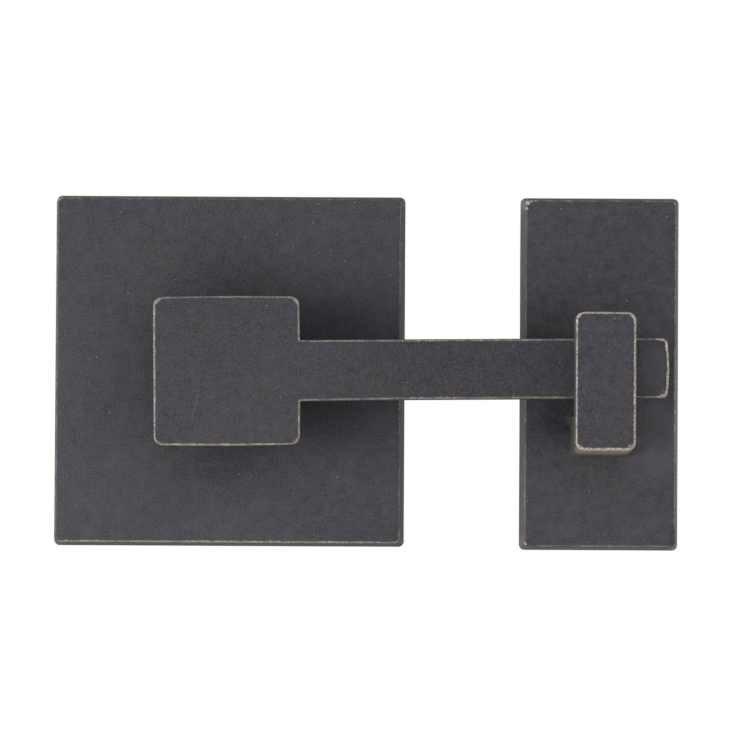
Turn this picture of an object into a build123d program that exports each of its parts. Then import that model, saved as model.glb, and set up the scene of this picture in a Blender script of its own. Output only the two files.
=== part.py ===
from build123d import *
import math
import os

# Square cabinet latch: a lever on a square base plate, and a strike plate with a hooked keeper.
# Millimetres. X runs from the pivot towards the strike, Z is up and the fronts face -Y.
# The backs of both plates lie on the plane Y = 0, and the pivot axis passes through the origin.
# A depth is a distance in front of that plane, so a point at depth d has Y = -d.

# Base plate
plate_size = 44.5            # square outline at the back
plate_thickness = 5.0
plate_lean = 0.55            # how far each side leans in from back to front
plate_corner = 0.7           # corner radius seen from the front
plate_edge = 0.45            # rounding of the front edge
back_chamfer = 0.25          # broken edge round the back

# Strike plate, which shares the base plate's thickness, lean and edges
strike_width = 20.2
strike_height = 44.8
plate_gap = 14.55            # clear space between the two plates

# Fixing holes: blind, tapped M4, in the back of both plates
fixing_drill = 3.3
fixing_depth = 3.3
fixing_spacing = 30.0        # square pattern behind the base plate
strike_fixing_spacing = 30.0
drill_point_angle = 118.0

# Lever: square hub, filed a little taller than it is wide, and bar arm in one casting
hub_width = 18.5
hub_height = 18.8
hub_corner = 0.7
arm_width = 7.6
arm_past_keeper = 4.7        # how far the tip stands past the keeper
arm_tip_bulge = 0.3          # how far the middle of the tip stands past its corners
arm_corner = 0.6
arm_root = 0.3               # radius in the corners between hub and arm
lever_thickness = 4.5
lever_lean = 0.2
lever_edge = 0.45
lever_back_chamfer = 0.2     # broken edge round the back
lever_lift = 0.6             # degrees above level at which friction holds the arm

# Journal, bush and the boss that carries it
journal_diameter = 7.0
running_clearance = 0.05     # radial, journal in bush
end_play = 0.05              # hub to flange, and spring to its seat
bush_wall = 0.95
bush_flange = 1.0            # thickness
bush_flange_width = 2.0      # past the bush's wall
bush_lead = 0.3              # chamfers
boss_height = 3.0
boss_wall = 1.25             # past the recess behind it
boss_lean = 0.2
boss_root = 0.5              # slope round the boss's foot

# Spring and keyed washer, in a recess behind the plate
spring_width = 1.9           # ring, from its bore to its rim
spring_bore_clearance = 0.1  # radial, round the journal
spring_stock = 0.35
spring_height = 0.65         # as fitted
recess_clearance = 0.75      # radial, round the spring and the keyed washer
keyed_washer_thickness = 0.8
washer_chamfer = 0.1
flat_depth = 1.25            # how far each flat cuts into the journal's end
square_clearance = 0.05      # each side, in the keyed washer
square_shortfall = 0.1       # the square ends this far inside the keyed washer

# Pivot screw M3 and its lock washer
screw_diameter = 3.0
screw_length = 8.0
screw_lead = 0.4             # chamfer at the screw's end
screw_head_diameter = 5.6
screw_head_height = 1.8
screw_crown = 0.5            # height of the domed part of the head
screw_head_below_back = 0.3  # the head stays this far inside the recess
cross_width = 0.8
cross_span = 2.9
cross_depth = 1.1
cross_lean = 0.15            # how far the recess's sides lean in towards its bottom
tapping_run_out = 0.6        # drilled past the screw's end
lock_washer_clearance = 0.1  # radial, round the screw
lock_washer_width = 1.4
lock_washer_thickness = 0.7
lock_washer_gap = 0.5
lock_washer_slant = 30.0     # degrees, of the cut through the ring

# Keeper: a leaning block with a slot for the arm, open at the top
keeper_width = 7.4           # cap, at its front
keeper_thickness = 4.5       # cap
keeper_lean = 0.1            # each side, from the cap's front to the strike plate
keeper_foot_lean = 1.0       # the same below the foot
keeper_corner = 1.1
keeper_edge = 0.4
keeper_blend = 0.4           # radius round the keeper's root and along the rims of its slot
arm_front_clearance = 0.65   # arm to the cap's back
arm_floor_clearance = 1.75   # level arm to the slot's floor
arm_below_cap_top = 3.6      # how far the cap rises above a level arm
foot_height = 4.2            # slot's floor to the foot's lower end, at the front
slot_corner = 1.0            # radius along the two sides of the slot's floor

# Slack for picking edges by their place
pick_slack = 0.01

# Depths, counted forwards from the back of the plates
boss_front = plate_thickness + boss_height
flange_front = boss_front + bush_flange
lever_back = flange_front + end_play
lever_front = lever_back + lever_thickness
cap_back = lever_front + arm_front_clearance
cap_front = cap_back + keeper_thickness

# Depths of the stack behind the plate, from the screw's head forwards
head_front = screw_head_below_back + screw_head_height
keyed_washer_back = head_front + lock_washer_thickness
keyed_washer_front = keyed_washer_back + keyed_washer_thickness
recess_floor = keyed_washer_front + spring_height + end_play
square_end = keyed_washer_back + square_shortfall
screw_tip = head_front + screw_length
tapping_end = screw_tip + tapping_run_out

# Places seen from the front
strike_x = plate_size / 2 + plate_gap + strike_width / 2
strike_z = (plate_size - strike_height) / 2      # the tops of the two plates line up
slot_floor = -arm_width / 2 - arm_floor_clearance
cap_top = arm_width / 2 + arm_below_cap_top
foot_bottom = slot_floor - foot_height
arm_reach = strike_x + keeper_width / 2 + arm_past_keeper

# Diameters that follow from the journal outwards
bush_bore = journal_diameter + 2 * running_clearance
bush_outside = bush_bore + 2 * bush_wall
bush_flange_diameter = bush_outside + 2 * bush_flange_width
spring_bore = journal_diameter + 2 * spring_bore_clearance
spring_outside = spring_bore + 2 * spring_width
recess_diameter = spring_outside + 2 * recess_clearance
boss_diameter = recess_diameter + 2 * boss_wall
square_size = journal_diameter - 2 * flat_depth
lock_washer_inside = screw_diameter + 2 * lock_washer_clearance
lock_washer_outside = lock_washer_inside + 2 * lock_washer_width


def front_plane(depth, x=0.0, z=0.0):
    """Plane facing the viewer at a depth: its x is X and its y is Z."""
    return Plane(origin=(x, -depth, z), x_dir=(1, 0, 0), z_dir=(0, -1, 0))


def at_depth(shape, depth):
    """Edges that lie wholly at a depth."""
    return shape.edges().filter_by_position(Axis.Y, -depth - pick_slack, -depth + pick_slack)


def near(shape, picked):
    """The same edges again after the shape has changed elsewhere."""
    places = [e.center() for e in picked]
    return shape.edges().filter_by(
        lambda e: any((e.center() - place).length < pick_slack for place in places))


def rod(diameter, back, front, x=0.0, z=0.0):
    """Cylinder along the pivot's direction between two depths."""
    return extrude(front_plane(back, x, z) * Circle(diameter / 2), front - back)


def upright_edges(shape, back, front):
    """Edges that run from the back to the front of a casting."""
    return shape.edges() - at_depth(shape, back) - at_depth(shape, front)


def tapered(half_back, half_front, back, front):
    """Outline of a casting seen from above: half widths at two depths, with the depth along -Y."""
    corners = Polyline((-half_back, -back), (-half_front, -front), (half_front, -front), (half_back, -back),
                       close=True)
    return make_face(corners)


def leaning_block(width, height, lean, back, front, x=0.0, z=0.0):
    """Block whose four flat sides lean in towards the front."""
    from_above = tapered(width / 2, width / 2 - lean, back, front)
    from_side = tapered(height / 2, height / 2 - lean, back, front)
    long_way = extrude(from_above, height, both=True)
    cross_way = extrude(from_side, width, both=True).rotate(Axis.Y, 90)
    return Pos(x, 0, z) * (long_way & cross_way)


def drilled_hole(diameter, mouth, end, x=0.0, z=0.0):
    """Blind hole from the back, with the cone that a drill leaves and a broken edge at the mouth."""
    radius = diameter / 2
    point = radius / math.tan(math.radians(drill_point_angle / 2))
    hole = rod(diameter, mouth, end, x, z)
    tip = front_plane(end + point / 2, x, z) * Cone(radius, 0, point)
    mouth_plane = front_plane(mouth + back_chamfer / 2, x, z)
    mouth_cone = mouth_plane * Cone(radius + back_chamfer, radius, back_chamfer)
    return hole + tip + mouth_cone


def turned(points):
    """Solid of revolution about the pivot axis from (radius, depth) corners."""
    corners = [(radius, -depth) for radius, depth in points]
    section = make_face(Polyline(*corners, close=True))
    return revolve(section, Axis.Y)


def lifted(shape):
    """Turns a piece of the lever about the pivot axis to where the arm is held."""
    return shape.rotate(Axis.Y, -lever_lift)


def plate_blank(width, height, x=0.0, z=0.0):
    """Cast plate with leaning sides, a rounded front edge and a broken back edge."""
    blank = leaning_block(width, height, plate_lean, 0, plate_thickness, x, z)
    blank = fillet(upright_edges(blank, 0, plate_thickness), plate_corner)
    blank = fillet(at_depth(blank, plate_thickness), plate_edge)
    return chamfer(at_depth(blank, 0), back_chamfer)


def make_base_plate():
    plate = plate_blank(plate_size, plate_size)
    boss = boss_diameter / 2
    boss_top = boss - boss_lean
    plate += turned([(0, 0), (boss, 0), (boss, plate_thickness), (boss_top, boss_front), (0, boss_front)])
    root = at_depth(plate, plate_thickness).filter_by(GeomType.CIRCLE)
    plate = chamfer(root.sort_by(SortBy.RADIUS)[-1], boss_root)
    plate -= rod(bush_outside, 0, boss_front)
    plate -= rod(recess_diameter, 0, recess_floor)
    plate = chamfer(at_depth(plate, 0).filter_by(GeomType.CIRCLE), back_chamfer)
    reach = fixing_spacing / 2
    for x in (-reach, reach):
        for z in (-reach, reach):
            plate -= drilled_hole(fixing_drill, 0, fixing_depth, x, z)
    return plate


def make_pivot_bush():
    lead = bush_lead
    inside = bush_bore / 2
    outside = bush_outside / 2
    flange = bush_flange_diameter / 2
    return turned([
        (inside, recess_floor),
        (outside - lead, recess_floor),
        (outside, recess_floor + lead),
        (outside, boss_front),
        (flange, boss_front),
        (flange, flange_front - lead),
        (flange - lead, flange_front),
        (inside + lead, flange_front),
        (inside, flange_front - lead),
    ])


def make_lever():
    """Hub and arm flush in one casting, with the journal behind the hub."""
    hub = leaning_block(hub_width, hub_height, lever_lean, lever_back, lever_front)
    arm = leaning_block(2 * arm_reach, arm_width, lever_lean, lever_back, lever_front, arm_reach)
    half = arm_width / 2
    tip_radius = (half ** 2 + arm_tip_bulge ** 2) / (2 * arm_tip_bulge)
    wide = 1.5 * half
    shoulder = arm_reach - tip_radius + math.sqrt(tip_radius ** 2 - wide ** 2)
    sides = Polyline((shoulder, wide), (0, wide), (0, -wide), (shoulder, -wide))
    tip = ThreePointArc((shoulder, -wide), (arm_reach, 0), (shoulder, wide))
    arm &= extrude(front_plane(lever_back) * make_face([sides, tip]), lever_thickness)
    body = hub + arm
    uprights = upright_edges(body, lever_back, lever_front)
    between_hub_and_arm = (hub_height + arm_width) / 4
    tip_corners = uprights.filter_by(lambda e: e.center().X > hub_width)
    hub_corners = uprights.filter_by(lambda e: abs(e.center().Z) > between_hub_and_arm)
    arm_roots = uprights - tip_corners - hub_corners
    body = fillet(arm_roots, arm_root)
    body = fillet(near(body, hub_corners), hub_corner)
    body = fillet(near(body, tip_corners), arm_corner)
    body = fillet(at_depth(body, lever_front), lever_edge)
    body = chamfer(at_depth(body, lever_back), lever_back_chamfer)
    body += rod(journal_diameter, keyed_washer_front, lever_back)
    square = extrude(front_plane(square_end) * Rectangle(square_size, square_size),
                     keyed_washer_front - square_end)
    body += square & rod(journal_diameter, square_end, keyed_washer_front)
    body -= drilled_hole(screw_diameter, square_end, tapping_end)
    return lifted(body)


def make_disc_spring():
    """Conical washer: its inner rim bears on the keyed washer, its outer rim on the recess's floor."""
    inside = spring_bore / 2
    outside = spring_outside / 2
    back = keyed_washer_front
    front = keyed_washer_front + spring_height
    return turned([
        (inside, back),
        (inside, back + spring_stock),
        (outside, front),
        (outside, front - spring_stock),
    ])


def make_keyed_washer():
    washer = rod(spring_outside, keyed_washer_back, keyed_washer_front)
    washer = chamfer(washer.edges().filter_by(GeomType.CIRCLE), washer_chamfer)
    hole = square_size + 2 * square_clearance
    corner_round = rod(bush_bore, keyed_washer_back, keyed_washer_front)
    key = extrude(front_plane(keyed_washer_back) * Rectangle(hole, hole), keyed_washer_thickness)
    washer -= key & corner_round
    return lifted(washer)


def make_lock_washer():
    """Split washer, pressed flat by the screw, with a slanting cut through one side."""
    ring = rod(lock_washer_outside, head_front, keyed_washer_back)
    ring -= rod(lock_washer_inside, head_front, keyed_washer_back)
    middle = (head_front + keyed_washer_back) / 2
    cut = Box(lock_washer_gap, 3 * lock_washer_thickness, lock_washer_outside)
    cut = Pos(0, -middle, lock_washer_outside / 2) * Rot(0, 0, lock_washer_slant) * cut
    return lifted(ring - cut)


def make_pivot_screw():
    """Pan head screw with a cross recess, driven from behind."""
    back = screw_head_below_back
    rim = back + screw_crown
    head = screw_head_diameter / 2
    shank = screw_diameter / 2
    lead = screw_lead
    with BuildSketch(Plane.XY) as section:
        with BuildLine():
            Polyline((0, -back), (0, -screw_tip), (shank - lead, -screw_tip), (shank, -screw_tip + lead),
                     (shank, -head_front), (head, -head_front), (head, -rim))
            TangentArc((0, -back), (head, -rim), tangent=(1, 0))
        make_face()
    screw = revolve(section.sketch, Axis.Y)
    bar = leaning_block(cross_span, cross_width, cross_lean, back, back + cross_depth)
    return lifted(screw - (bar + bar.rotate(Axis.Y, 90)))


def make_keeper():
    """Hook in front of the strike plate: its profile seen from the side, cut to its shape from above."""
    back = plate_thickness - plate_edge
    run = cap_front - back
    half = keeper_width / 2
    cap_back_top = cap_top + keeper_lean * keeper_thickness / run
    side_view = Polyline((-back, foot_bottom - keeper_foot_lean), (-cap_front, foot_bottom),
                         (-cap_front, cap_top), (-cap_back, cap_back_top),
                         (-cap_back, slot_floor), (-back, slot_floor), close=True)
    side = Plane.YZ.offset(strike_x) * make_face(side_view)
    top = Pos(strike_x, 0, 0) * tapered(half + keeper_lean, half, back, cap_front)
    hook = extrude(side, keeper_width, both=True) & extrude(top, 2 * (cap_top - foot_bottom), both=True)
    lengthwise = upright_edges(hook, back, cap_front) - at_depth(hook, cap_back)
    corners = lengthwise.filter_by(lambda e: abs(e.center().Z - slot_floor) > pick_slack)
    hook = fillet(corners, keeper_corner)
    return fillet(at_depth(hook, cap_front), keeper_edge)


def make_strike():
    plate = plate_blank(strike_width, strike_height, strike_x, strike_z)
    strike = plate + make_keeper()
    floor_edges = strike.edges().filter_by(GeomType.LINE).filter_by(Axis.X)
    floor_edges = floor_edges.filter_by(lambda e: abs(e.center().Z - slot_floor) < pick_slack)
    strike = fillet(floor_edges, slot_corner)
    slot_start = slot_floor + slot_corner
    foot_middle = Vector(strike_x, -plate_thickness, (slot_floor + foot_bottom) / 2)
    round_foot = at_depth(strike, plate_thickness).filter_by(
        lambda e: (e.center() - foot_middle).length < keeper_width)
    root = round_foot.filter_by(lambda e: e.center().Z < slot_start - pick_slack)
    rims = at_depth(strike, cap_back).filter_by(lambda e: e.center().Z > slot_start + pick_slack)
    strike = fillet(root + rims, keeper_blend)
    reach = strike_fixing_spacing / 2
    for z in (strike_z - reach, strike_z + reach):
        strike -= drilled_hole(fixing_drill, 0, fixing_depth, strike_x, z)
    return strike


pieces = {
    "base_plate": make_base_plate(),
    "pivot_bush": make_pivot_bush(),
    "lever": make_lever(),
    "disc_spring": make_disc_spring(),
    "keyed_washer": make_keyed_washer(),
    "lock_washer": make_lock_washer(),
    "pivot_screw": make_pivot_screw(),
    "strike": make_strike(),
}

os.makedirs("parts", exist_ok=True)
for name, shape in pieces.items():
    export_step(shape, f"parts/{name}.step")
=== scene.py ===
import math

import bmesh
import bpy
import numpy as np
from mathutils import Matrix, Quaternion, Vector, noise


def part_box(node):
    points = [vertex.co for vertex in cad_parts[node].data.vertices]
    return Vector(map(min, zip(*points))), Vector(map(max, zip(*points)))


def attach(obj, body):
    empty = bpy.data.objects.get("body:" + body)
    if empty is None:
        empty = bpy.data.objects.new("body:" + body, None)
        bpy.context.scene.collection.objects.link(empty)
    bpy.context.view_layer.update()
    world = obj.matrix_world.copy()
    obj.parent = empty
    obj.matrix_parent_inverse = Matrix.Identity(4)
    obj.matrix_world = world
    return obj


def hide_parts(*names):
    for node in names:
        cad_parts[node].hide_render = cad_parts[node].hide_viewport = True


# A square cabinet latch in dark cast bronze with worn edges.
# Shapes are worked out in millimetres and made metres at the end.
# X runs from the pivot to the strike, Z is up, the fronts face -Y and the backs lie on Y = 0.
# A depth is a distance in front of the backs, so a point at depth d has Y = -d.

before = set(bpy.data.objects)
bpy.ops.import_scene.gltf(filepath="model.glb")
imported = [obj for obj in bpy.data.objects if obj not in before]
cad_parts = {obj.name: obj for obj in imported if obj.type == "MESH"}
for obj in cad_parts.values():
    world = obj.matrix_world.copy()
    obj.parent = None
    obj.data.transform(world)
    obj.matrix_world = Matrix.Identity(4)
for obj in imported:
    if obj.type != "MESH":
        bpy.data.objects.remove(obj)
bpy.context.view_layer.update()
mm = 0.001
print("frame loaded:", len(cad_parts), "parts")


# Places and small mesh helpers

meshing = {
    "cutSlack": 1e-5,  # a point this near a cut lies on it
    "pickSlack": 0.01,  # the same for edges and faces that are picked by their place
    "mergeGap": 0.002,  # points closer than this are merged
    "turnedGap": 1e-4,  # the same on a shape that is fresh from the lathe
    "threadForm": (0.12, 0.5, 0.62),  # end of the root, start and end of the crest, as shares of the pitch
    "wearBlend": 0.15,  # how far the wear of neighbouring edges runs together
    "along": 0.9,  # least share of an edge's direction that an axis takes when it runs along it
    "sharp": 55,  # degrees; an edge that is bent more is rounded
}
slack = meshing["pickSlack"]


def nodeBox(node):
    low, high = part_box(node)
    return low / mm, high / mm


def block(bm, low, high):
    low, high = Vector(low), Vector(high)
    where = Matrix.Translation((low + high) / 2) @ Matrix.Diagonal((*(high - low), 1))
    return bmesh.ops.create_cube(bm, size=1, matrix=where)["verts"]


def cut(bm, point, normal, clear=False):  # cuts the surface along a plane and may drop what lies past it
    geometry = bm.verts[:] + bm.edges[:] + bm.faces[:]
    return bmesh.ops.bisect_plane(bm, geom=geometry, dist=meshing["cutSlack"], plane_co=point,
                                  plane_no=normal, clear_outer=clear)["geom_cut"]


def slices(bm, axis, places):
    normal = Vector((0, 0, 0))
    normal[axis] = 1
    for place in places:
        cut(bm, normal * place, normal)


def grid(bm, axis, step, *stretches):  # even slices give flat sides points that bowing and filing can move
    for low, high in stretches:
        count = max(1, round((high - low) / step))
        slices(bm, axis, [low + (high - low) * i / count for i in range(count + 1)])


def drawOut(bm, faces):  # extrudes faces without leaving the old ones inside
    edges = list({e for f in faces for e in f.edges})
    made = bmesh.ops.extrude_face_region(bm, geom=faces + edges)["geom"]
    return ([v for v in made if isinstance(v, bmesh.types.BMVert)],
            [f for f in made if isinstance(f, bmesh.types.BMFace)])


def lathe(bm, points, steps, pitch=0.0):  # (radius, depth) points turned about the pivot axis
    chain = [bm.verts.new((radius, -depth, 0)) for radius, depth in points]
    edges = [bm.edges.new(pair) for pair in zip(chain, chain[1:])]
    bmesh.ops.spin(bm, geom=chain + edges, cent=(0, 0, 0), axis=(0, 1, 0), dvec=(0, -pitch / steps, 0),
                   angle=2 * math.pi, steps=steps, use_merge=pitch == 0)
    bmesh.ops.remove_doubles(bm, verts=bm.verts[:], dist=meshing["turnedGap"])
    bmesh.ops.recalc_face_normals(bm, faces=bm.faces[:])


def arc(centre, radius, start, end, steps):  # (radius, depth) points round an arc, angles in degrees
    turns = [math.radians(start + (end - start) * i / steps) for i in range(steps + 1)]
    return [(centre[0] + radius * math.cos(a), centre[1] + radius * math.sin(a)) for a in turns]


def threadedRod(bm, look, start, end, steps):
    rootEnd, crestStart, crestEnd = meshing["threadForm"]
    core, outer, pitch = look["thread"]
    inner = core - look["threadRoot"]
    teeth = math.ceil((end - start) / pitch) + 2
    points = []
    for i in range(teeth):
        depth = start - pitch + i * pitch
        points += [(inner, depth), (inner, depth + rootEnd * pitch), (outer, depth + crestStart * pitch),
                   (outer, depth + crestEnd * pitch)]
    points.append((inner, start - pitch + teeth * pitch))
    lathe(bm, points, steps, pitch)
    for place, out in ((-start, 1), (-end, -1)):  # both ends are cut square and closed
        rim = [e for e in cut(bm, (0, place, 0), (0, out, 0), True) if isinstance(e, bmesh.types.BMEdge)]
        bmesh.ops.contextual_create(bm, geom=rim)
    bmesh.ops.recalc_face_normals(bm, faces=bm.faces[:])


def mend(bm, near=meshing["mergeGap"]):  # merges close points and drops faces that have no area
    bmesh.ops.remove_doubles(bm, verts=bm.verts[:], dist=near)
    bmesh.ops.dissolve_degenerate(bm, edges=bm.edges[:], dist=near / 4)


def placed(name, data):
    made = bpy.data.objects.new(name, data)
    bpy.context.scene.collection.objects.link(made)
    return made


def meshOf(bm, name):
    mend(bm)
    mesh = bpy.data.meshes.new(name)
    bm.to_mesh(mesh)
    bm.free()
    return placed(name, mesh)


def meshFrom(piece, near=meshing["mergeGap"]):
    bm = bmesh.new()
    bm.from_mesh(piece.data)
    mend(bm, near)
    return bm


def addTo(bm, other):
    mesh = bpy.data.meshes.new("part")
    other.to_mesh(mesh)
    other.free()
    bm.from_mesh(mesh)
    bpy.data.meshes.remove(mesh)


def combine(target, bm, operation):  # cuts the shape out of the target or joins it on
    tool = meshOf(bm, "tool")
    boolean = target.modifiers.new("combine", "BOOLEAN")
    boolean.operation = operation
    boolean.solver = "EXACT"
    boolean.object = tool
    bpy.context.view_layer.update()
    ready = target.evaluated_get(bpy.context.evaluated_depsgraph_get())
    mesh = bpy.data.meshes.new_from_object(ready)
    target.modifiers.clear()
    target.data = mesh
    bpy.data.objects.remove(tool)


# Edges: how they are picked, rounded and worn

def runsAlong(edge, axis):
    direction = (edge.verts[1].co - edge.verts[0].co).normalized()
    return abs(direction[axis]) > meshing["along"]


def bent(edge, degrees):  # whether the two faces at an edge meet at more than an angle
    return edge.calc_face_angle(0) > math.radians(degrees)


def rimAt(bm, place, degrees=meshing["sharp"], axis=1):  # bent edges that lie wholly at a place on an axis
    return [e for e in bm.edges
            if bent(e, degrees) and all(abs(v.co[axis] - place) < slack for v in e.verts)]


def middleOf(edge):
    return (edge.verts[0].co + edge.verts[1].co) / 2


def sideOf(edge, middle):  # which side of a front an edge is on
    place = middleOf(edge) - middle
    if abs(place.x) > abs(place.z):
        return "right" if place.x > 0 else "left"
    return "top" if place.z > 0 else "bottom"


def bevel(bm, edges, radius, segments=1):
    bmesh.ops.bevel(bm, geom=edges, offset=radius, offset_type="OFFSET", segments=segments, profile=0.5,
                    affect="EDGES", material=-1, clamp_overlap=True)


def roundEdges(bm, worn, edges, radius, wear, segments=1):  # and notes them, so that the wear can follow
    for edge in edges:
        if edge.is_convex:
            a, b = (v.co.copy() for v in edge.verts)
            worn.append((a, b, radius, wear(edge) if callable(wear) else wear))
    bevel(bm, edges, radius, segments)


def leanIn(verts, middle, lean, back, front):  # sides lean in towards the front
    for v in verts:
        share = (-v.co.y - back) / (front - back)
        v.co.x += share * (lean["left"] if v.co.x < middle.x else -lean["right"])
        v.co.z += share * (lean["bottom"] if v.co.z < middle.z else -lean["top"])


def storeWear(bm, worn):  # distance in mm to the nearest rounded edge, its wear, and where the skin faces
    points = np.array([v.co for v in bm.verts])
    distances = []
    for a, b, radius, _ in worn:
        start, run = np.array(a), np.array(b - a)
        along = np.clip((points - start) @ run / max(run @ run, 1e-9), 0, 1)
        away = np.linalg.norm(points - start - along[:, None] * run, axis=1)
        distances.append(away - radius * (math.sqrt(2) - 1))  # the rounding starts inside the sharp edge
    distances = np.array(distances)
    amounts = np.array([row[3] for row in worn])
    near = distances.min(axis=0)
    weights = np.exp(-(distances - near) / meshing["wearBlend"])
    wear = (weights * amounts[:, None]).sum(axis=0) / weights.sum(axis=0)
    bm.normal_update()
    side = [1 - abs(v.normal.y) for v in bm.verts]
    under = [max(0, -v.normal.z) for v in bm.verts]
    for name, values in (("edgeDistance", near), ("edgeWear", wear), ("side", side), ("under", under)):
        layer = bm.verts.layers.float.new(name)
        for v, value in zip(bm.verts, values):
            v[layer] = float(value)


# Finishing: a piece's mesh is filed, turned to its place, made metres and handed to its body

finishing = {
    "filed": 0.02,  # mm; the most that filing takes away
    "flatWeight": 80,  # how far the large faces rule the shading
    "castHard": 40,  # degrees; edges that are bent more are shaded hard
    "turnedHard": 35,
    "turnedMerge": 0.0002,
}


def handFile(bm, wave, shift):  # leaves the sides a little uneven, and only takes metal away
    bm.normal_update()
    shift = Vector(shift)
    moves = [finishing["filed"] * (0.5 + 0.5 * noise.noise((v.co + shift) / wave)) for v in bm.verts]
    for v, move in zip(bm.verts, moves):
        v.co -= v.normal * move


def finishPiece(bm, piece, body, node, hardAngle, lift=0.0):
    if lift:
        turn = Matrix.Rotation(math.radians(-lift), 3, "Y")
        bmesh.ops.rotate(bm, verts=bm.verts[:], cent=(0, 0, 0), matrix=turn)
    bmesh.ops.scale(bm, vec=(mm, mm, mm), verts=bm.verts[:])
    for face in bm.faces:
        face.smooth = True
    for edge in bm.edges:
        edge.smooth = len(edge.link_faces) == 2 and not bent(edge, hardAngle)
    bm.to_mesh(piece.data)
    bm.free()
    piece.data.materials.clear()
    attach(piece, body)
    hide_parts(node)
    print(node, "made:", len(piece.data.polygons), "faces")


def finishCasting(piece, look, worn, body, node, bow=None, lift=0.0):
    bm = meshFrom(piece)
    storeWear(bm, worn)
    if bow:
        for v in bm.verts:
            bow(v)
    handFile(bm, look["wave"], look["shift"])
    weighted = piece.modifiers.new("flat faces stay flat", "WEIGHTED_NORMAL")
    weighted.keep_sharp = True
    weighted.weight = finishing["flatWeight"]
    finishPiece(bm, piece, body, node, finishing["castHard"], lift)


# What the two plates share: the outline and the tapped holes in the back

plateShape = {
    "thickness": 5.0,
    "corner": 0.7,  # seen from the front
    "edge": 0.45,
    "backChamfer": 0.25,
    "holeSpacing": 30.0,
    "holeDepth": 3.3,
    "holeMouth": 0.15,  # how much wider than the thread the mouth is broken
    "drillPoint": 118.0,  # degrees
    "thread": (1.65, 2.0, 0.7),  # M4: hole radius, outer radius, pitch
    "threadDepth": (-0.1, 2.9),  # from outside the back to its end
    "threadRoot": 0.05,  # how far the cutter's root stays inside the hole's wall
    "holeSteps": (40, 28),  # round the hole, round its thread
    "sideStep": (1.0, 1.5),  # of the grid on the sides: distance from the edges, spacing
}


def drilledHole(look):  # blind hole with a drill's point and a broken mouth
    radius, outer, _ = look["thread"]
    mouth = outer + look["holeMouth"]
    depth = look["holeDepth"]
    point = radius / math.tan(math.radians(look["drillPoint"] / 2))
    past = 0.2  # how far the cutter stands out of the metal
    hole = bmesh.new()
    lathe(hole, [(0, -past), (mouth + past, -past), (radius, mouth - radius), (radius, depth),
                 (0, depth + point)], look["holeSteps"][0])
    return hole


def threadCut(look):
    rod = bmesh.new()
    threadedRod(rod, look, *look["threadDepth"], look["holeSteps"][1])
    return rod


def tapHoles(plate, look, places, bore=()):  # cuts the holes, with a bore for the pivot, then the threads
    for make in (drilledHole, threadCut):
        bm = bmesh.new()
        if bore and make is drilledHole:
            lathe(bm, bore, look["turnSteps"])
        for x, z in places:
            tool = make(look)
            bmesh.ops.translate(tool, vec=(x, 0, z), verts=tool.verts[:])
            addTo(bm, tool)
        combine(plate, bm, "DIFFERENCE")


def plateBlank(bm, low, high, look, worn):  # the CAD's box is measured past the back chamfer
    lean, thickness = look["lean"], look["thickness"]
    grow = {side: amount * look["backChamfer"] / thickness for side, amount in lean.items()}
    verts = block(bm, (low.x - grow["left"], -thickness, low.z - grow["bottom"]),
                  (high.x + grow["right"], 0, high.z + grow["top"]))
    middle = (low + high) / 2
    leanIn(verts, middle, lean, 0, thickness)
    wear = look["wear"]
    corners = [e for e in bm.edges if runsAlong(e, 1)]
    roundEdges(bm, worn, corners, look["corner"], wear["corner"], segments=6)
    roundEdges(bm, worn, rimAt(bm, -thickness), look["edge"], lambda e: wear[sideOf(e, middle)], segments=5)
    roundEdges(bm, worn, rimAt(bm, 0), look["backChamfer"], wear["back"])


# Base plate

basePlate = {
    **plateShape,
    "lean": {"left": 0.3, "right": 0.55, "top": 0.4, "bottom": 0.55},
    "boss": (7.5, 7.3, 8.0),  # radius at its foot and at its front, depth of its front
    "bossRoot": 0.5,
    "bossEdge": 0.2,
    "bossSunk": (2.0, 0.1, 0.02),  # its core in the plate, and its root's rim past and under the front
    "bore": 4.5,
    "recess": (6.25, 4.3),  # radius, depth
    "turnSteps": 96,
    "gridStep": 1.4,
    "narrower": (0.12, 0.2),  # how far the upper left side stands in, over which share of the half
    "wave": 9.0,
    "shift": (3.0, 0.0, 11.0),
    "wear": {"left": 0.3, "right": 0.45, "top": 0.35, "bottom": 0.6, "corner": 0.1, "back": 0.2},
}


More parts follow.
